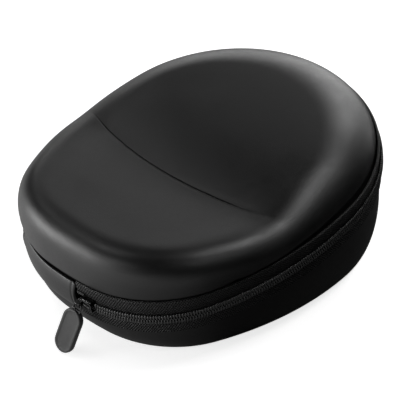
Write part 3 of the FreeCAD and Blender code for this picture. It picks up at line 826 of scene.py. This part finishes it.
def slider_parts():
    half, wide, rear = SLIDER_LENGTH / 2, 4.0, -3.4
    plan = [(rear, -2.6), (rear, 2.6), (rear + 0.8, 3.3), (0.5, 3.6), (half - 1.8, wide), (half - 0.4, 3.4),
            (half, 1.6), (half - 0.9, 0.5), (half - 0.9, -0.5), (half, -1.6), (half - 0.4, -3.4),
            (half - 1.8, -wide), (0.5, -3.6), (rear + 0.8, -3.3)]
    top = prism(plan, 0.95, 2.1)
    keel = prism(plan, -3.9, -2.8)
    rail = [(rear + 0.3, 3.35), (rear + 0.3, 3.8), (half - 1.4, 4.0), (half - 1.4, 3.4)]
    rails = [prism([(x, z * side) for x, z in rail], -1.05, 1.4) for side in (1, -1)]
    neck = prism([(half - 3.0, -0.4), (half - 3.0, 0.4), (half - 0.7, 0.4), (half - 0.7, -0.4)], -2.9, 1.0)
    across = [(z, y) for y, z in [(1.6, -0.95), (3.4, -0.85), (4.55, -0.3), (4.85, 1.0), (4.55, 2.3),
                                  (3.4, 2.85), (1.6, 2.95)]]
    inner_edge = [(z, y) for y, z in [(1.6, 2.25), (3.2, 2.15), (4.1, 1.75), (4.25, 1.0), (4.1, 0.25),
                                      (3.2, -0.15), (1.6, -0.25)]]
    arch = prism(across + inner_edge, PIVOT[0] - 1.2, PIVOT[0] + 1.2, "zyx")
    crown = prism([(rear + 1.0, -1.0), (rear + 1.0, 1.0), (1.6, 1.5), (1.6, -1.5)], 1.9, 2.5)
    return [top, keel, neck, arch, crown] + rails


slider = joined("zip_slider", slider_parts(), SLIDER)
finish_piece(slider, "slider", ZIP_METAL, ("slider_body",), 0.28)

LINK_HALF, LINK, TAB, TAB_HALF = 2.9, 3.6, 27.4, 6.2
plate_outline = [(-LINK_HALF, 3.2), (LINK_HALF, 3.2), (3.0, 6.0), (3.0, 17.5), (-3.0, 17.5), (-3.0, 6.0)]
plate = prism(plate_outline, -0.5, 0.5)
loop_path = [(-2.35, 0, 4.0), (-2.4, 0, 2.4), (-2.4, 0, 1.2), (-2.3, 0, 0.5), (-1.9, 0, 0.12),
             (-1.2, 0, 0.0), (0, 0, 0), (1.2, 0, 0.0), (1.9, 0, 0.12), (2.3, 0, 0.5), (2.4, 0, 1.2),
             (2.4, 0, 2.4), (2.35, 0, 4.0)]
link = joined("puller_link", [plate, tube(loop_path, 0.58)], PULL)
finish_piece(link, "pull", ZIP_METAL, ("pull_link",), 0.2)


def capsule(half, first, last, steps=16):
    """Stadium outline in the puller's plane, from first to last along it."""
    def arc(middle, start, stop):
        return [(half * math.cos(a), middle + half * math.sin(a)) for a in np.linspace(start, stop, steps)]
    return arc(first + half, math.pi, 2 * math.pi) + arc(last - half, 0, math.pi)


def rounded_tab():
    """Rubber tab: soft edges and a faintly dished face inside a raised rim, both sides."""
    rings = []
    thickness = 1.6
    edge = [(0.0, 0.25), (0.05, 0.6), (0.2, 0.9), (0.45, 1.0), (1.1, 1.0), (1.5, 0.95), (1.8, 0.84),
            (2.2, 0.80), (4.5, 0.80)]
    stations = [(inset, -high * thickness) for inset, high in reversed(edge)]
    stations += [(inset, high * thickness) for inset, high in edge]
    for inset, height in stations:
        plan = capsule(TAB_HALF - inset, LINK + inset, LINK + TAB - inset)
        rings.append([(x, height, z) for x, z in plan])
    count = len(rings[0])
    faces = grid_faces(len(rings), count)
    faces.append(tuple(range(count)))
    faces.append(tuple(range((len(rings) - 1) * count, len(rings) * count)))
    return np.concatenate([np.array(r) for r in rings]), faces


tab = joined("puller_tab", [rounded_tab()], PULL)
finish_piece(tab, "pull", PULL_RUBBER, ("pull_tab",))

# ---------------------------------------------------------------- carried-over CAD nodes
KEPT = {"lid_zip_cord": CORD_TWIST, "base_zip_cord": CORD_TWIST,
        "lid_top_stop": ZIP_METAL, "base_top_stop": ZIP_METAL, "zip_end_bar": ZIP_METAL}
for node, material in KEPT.items():
    mesh = frame["nodes"][node].data
    mesh.materials.clear()
    mesh.materials.append(material)

# ---------------------------------------------------------------- floor, light and camera
def facing(azimuth, elevation):
    """Right, up and back axes of something that looks at the case from a direction."""
    a, e = math.radians(azimuth), math.radians(elevation)
    back = Vector((math.sin(a) * math.cos(e), -math.cos(a) * math.cos(e), math.sin(e)))
    right = Vector((math.cos(a), math.sin(a), 0))
    return right, back.cross(right), back


def stage_plane(name, size, material):
    half = size / 2
    corners = [(-half, -half, 0), (half, -half, 0), (half, half, 0), (-half, half, 0)]
    plane = make_mesh(name, corners, [(0, 1, 2, 3)])
    plane.data.materials.append(material)
    return plane


FLOOR_GLOW, FLOOR_SHINE = 0.75, 0.6


def white_floor():
    """White to the camera, with the case's soft shadow; in reflections bright to its left and front left."""
    n = Nodes("floor_white")
    seen = n.add("ShaderNodeLightPath").outputs["Is Camera Ray"]
    split = n.add("ShaderNodeSeparateXYZ", None, Vector=n.add("ShaderNodeNewGeometry").outputs["Position"])
    shine = 0.0
    for azimuth in (-138, -93):
        toward = facing(azimuth, 0)[2]
        reach = n.math("ADD", n.math("MULTIPLY", split.outputs["X"], toward.x),
                       n.math("MULTIPLY", split.outputs["Y"], toward.y))
        shine = n.math("ADD", n.ramp(reach, 0.04, 0.2, 0.0, FLOOR_SHINE), shine)
    glow = n.math("ADD", n.math("MULTIPLY", seen, FLOOR_GLOW),
                  n.math("MULTIPLY", n.math("SUBTRACT", 1.0, seen), shine))
    n.set(n.shader, "Base Color", n.grey(n.ramp(seen, 0, 1, 0.08, 0.8)))
    n.set(n.shader, "Roughness", 0.9)
    n.set(n.shader, "Specular IOR Level", 0.0)
    n.set(n.shader, "Emission Color", (1, 1, 1, 1))
    n.set(n.shader, "Emission Strength", glow)
    return n.material


floor = stage_plane("floor", 30, white_floor())
floor.location.z = -0.0002


def softbox(name, azimuth, elevation, distance, width, height, power):
    """Area light aimed at the case, azimuth measured like the camera's."""
    right, up, back = facing(azimuth, elevation)
    data = bpy.data.lights.new(name, "AREA")
    data.shape = "RECTANGLE"
    data.size, data.size_y = width, height
    data.energy = power
    lamp = bpy.data.objects.new(name, data)
    axes = Matrix((right, up, back)).transposed().to_4x4()
    lamp.matrix_world = Matrix.Translation(Vector((0, 0, 0.04)) + back * distance) @ axes
    bpy.context.scene.collection.objects.link(lamp)
    return lamp


for name, azimuth, elevation, power in (
        ("left_low", -138, 6, 19.0), ("narrow_low", -115, 3, 7.0), ("left_high", -138, 62, 2.0),
        ("narrow_mid", -93, 25, 1.6), ("front_fill", -2, 45, 1.2), ("side_high", 52, 58, 6.0),
        ("right_low", 100, 3, 4.5), ("right_mid", 100, 30, 4.0), ("back_low", 125, 3, 4.2),
        ("back_mid", 125, 15, 1.2), ("back_high", 125, 45, 0.5), ("far_back", 150, 15, 0.8),
        ("far_back_high", 177, 45, 0.9)):
    spread = 2.2 if elevation < 10 else 1.0
    softbox(name, azimuth, elevation, 1.5, 0.5 * spread, 0.3 * spread, power)

sky = bpy.data.worlds.new("studio")
sky.use_nodes = True
sky.node_tree.nodes["Background"].inputs["Color"].default_value = (1, 1, 1, 1)
sky.node_tree.nodes["Background"].inputs["Strength"].default_value = 0.0
bpy.context.scene.world = sky
bpy.context.scene.view_settings.view_transform = "Standard"


def place_camera(azimuth, elevation, roll, distance, shift_right, shift_up, focal_pixels):
    """Camera looking at the case's middle; focal_pixels is for a picture 400 wide."""
    r = math.radians(roll)
    right, up, back = facing(azimuth, elevation)
    turned_right = right * math.cos(r) + up * math.sin(r)
    turned_up = up * math.cos(r) - right * math.sin(r)
    data = bpy.data.cameras.new("camera")
    data.sensor_width = 36
    data.lens = 36 * focal_pixels / 400
    data.clip_end = 50
    camera = bpy.data.objects.new("camera", data)
    spot = Vector((0, 0, 40)) + back * distance - turned_right * shift_right - turned_up * shift_up
    axes = Matrix((turned_right, turned_up, back)).transposed().to_4x4()
    camera.matrix_world = Matrix.Translation(spot / 1000) @ axes
    bpy.context.scene.collection.objects.link(camera)
    bpy.context.scene.camera = camera


place_camera(-47.718, 36.369, 0.4, 968.0, 2.44, 3.82, 1743.6)

bpy.context.view_layer.update()
